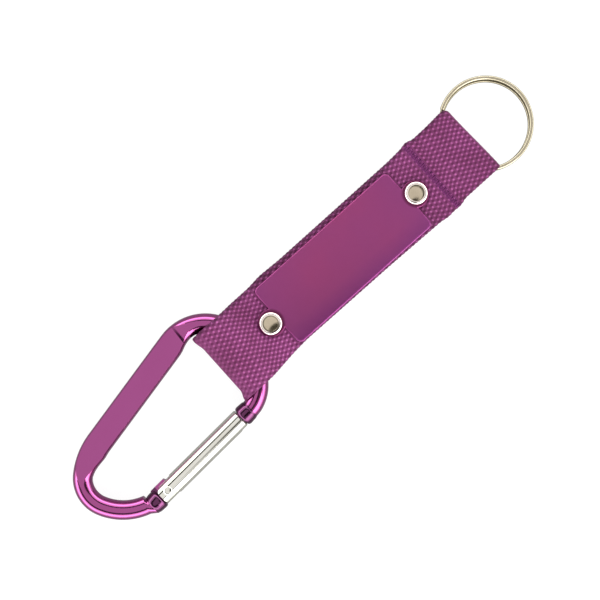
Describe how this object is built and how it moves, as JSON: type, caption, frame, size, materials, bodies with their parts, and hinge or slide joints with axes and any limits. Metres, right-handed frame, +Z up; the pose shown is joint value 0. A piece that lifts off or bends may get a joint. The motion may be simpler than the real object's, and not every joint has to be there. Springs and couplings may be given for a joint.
{
  "type": "carabiner keyring",
  "caption": "Spring-gate carabiner and split key ring joined by a short riveted webbing strap with a blank name plate.",
  "frame": {"origin": "middle of the footprint, on the surface the keyring lies on", "axes": "+X along the strap towards the split ring, +Y towards the carabiner's spine, +Z up out of the name plate"},
  "size_m": [0.1852, 0.0406, 0.0088],
  "materials": {
    "webbing": "plain-woven nylon tape, matt with a slight sheen",
    "thread": "polyester sewing thread",
    "anodised_plate": "satin purple anodised aluminium",
    "nickel": "bright nickel plate",
    "anodised_body": "glossy purple anodised aluminium",
    "bare_aluminium": "polished",
    "spring_steel": "drawn wire"
  },
  "bodies": {
    "strap": {"webbing_front": "webbing", "webbing_back": "webbing", "webbing_tail": "webbing", "stitch_thread_front": "thread", "stitch_thread_back": "thread", "name_plate": "anodised_plate", "rivet_cap_a": "nickel", "rivet_cap_b": "nickel", "rivet_post_a": "nickel", "rivet_post_b": "nickel"},
    "carabiner": {"webbing_carabiner_loop": "webbing", "carabiner_body": "anodised_body"},
    "gate": {"gate_tube": "bare_aluminium", "gate_hinge_pin": "bare_aluminium", "gate_spring": "spring_steel"},
    "plunger": {"gate_plunger": "spring_steel"},
    "ring_loop": {"webbing_ring_loop": "webbing"},
    "split_ring": {"split_ring": "nickel"}
  },
  "joints": [
    {"name": "carabiner_flap", "type": "hinge", "parent": "strap", "child": "carabiner", "pos_m": [-0.01704, 0.0003, 0.00252], "axis": [0, 1, 0], "range_deg": [-60, 60], "deforming": ["webbing_carabiner_loop"]},
    {"name": "gate_hinge", "type": "hinge", "parent": "carabiner", "child": "gate", "pos_m": [-0.06984, -0.0167, 0.0044], "axis": [0, 0, 1], "range_deg": [0, 28], "stiffness_Nm_per_rad": 0.02, "springref_deg": -20.05},
    {"name": "plunger_slide", "type": "slide", "parent": "gate", "child": "plunger", "axis": [0.9988, 0.0489, 0], "range_m": [0, 0.00056], "deforming": ["gate_spring"]},
    {"name": "ring_flap", "type": "hinge", "parent": "strap", "child": "ring_loop", "pos_m": [0.05696, 0.0003, 0.00252], "axis": [0, -1, 0], "range_deg": [-60, 60], "deforming": ["webbing_ring_loop"]},
    {"name": "ring_spin", "type": "hinge", "parent": "ring_loop", "child": "split_ring", "pos_m": [0.07776, 0.00195, 0.0027], "axis": [0, 0, 1], "continuous": true}
  ],
  "couplings": [
    {"joint": "plunger_slide", "follows": "gate_hinge", "m_per_rad": 0.0011}
  ]
}
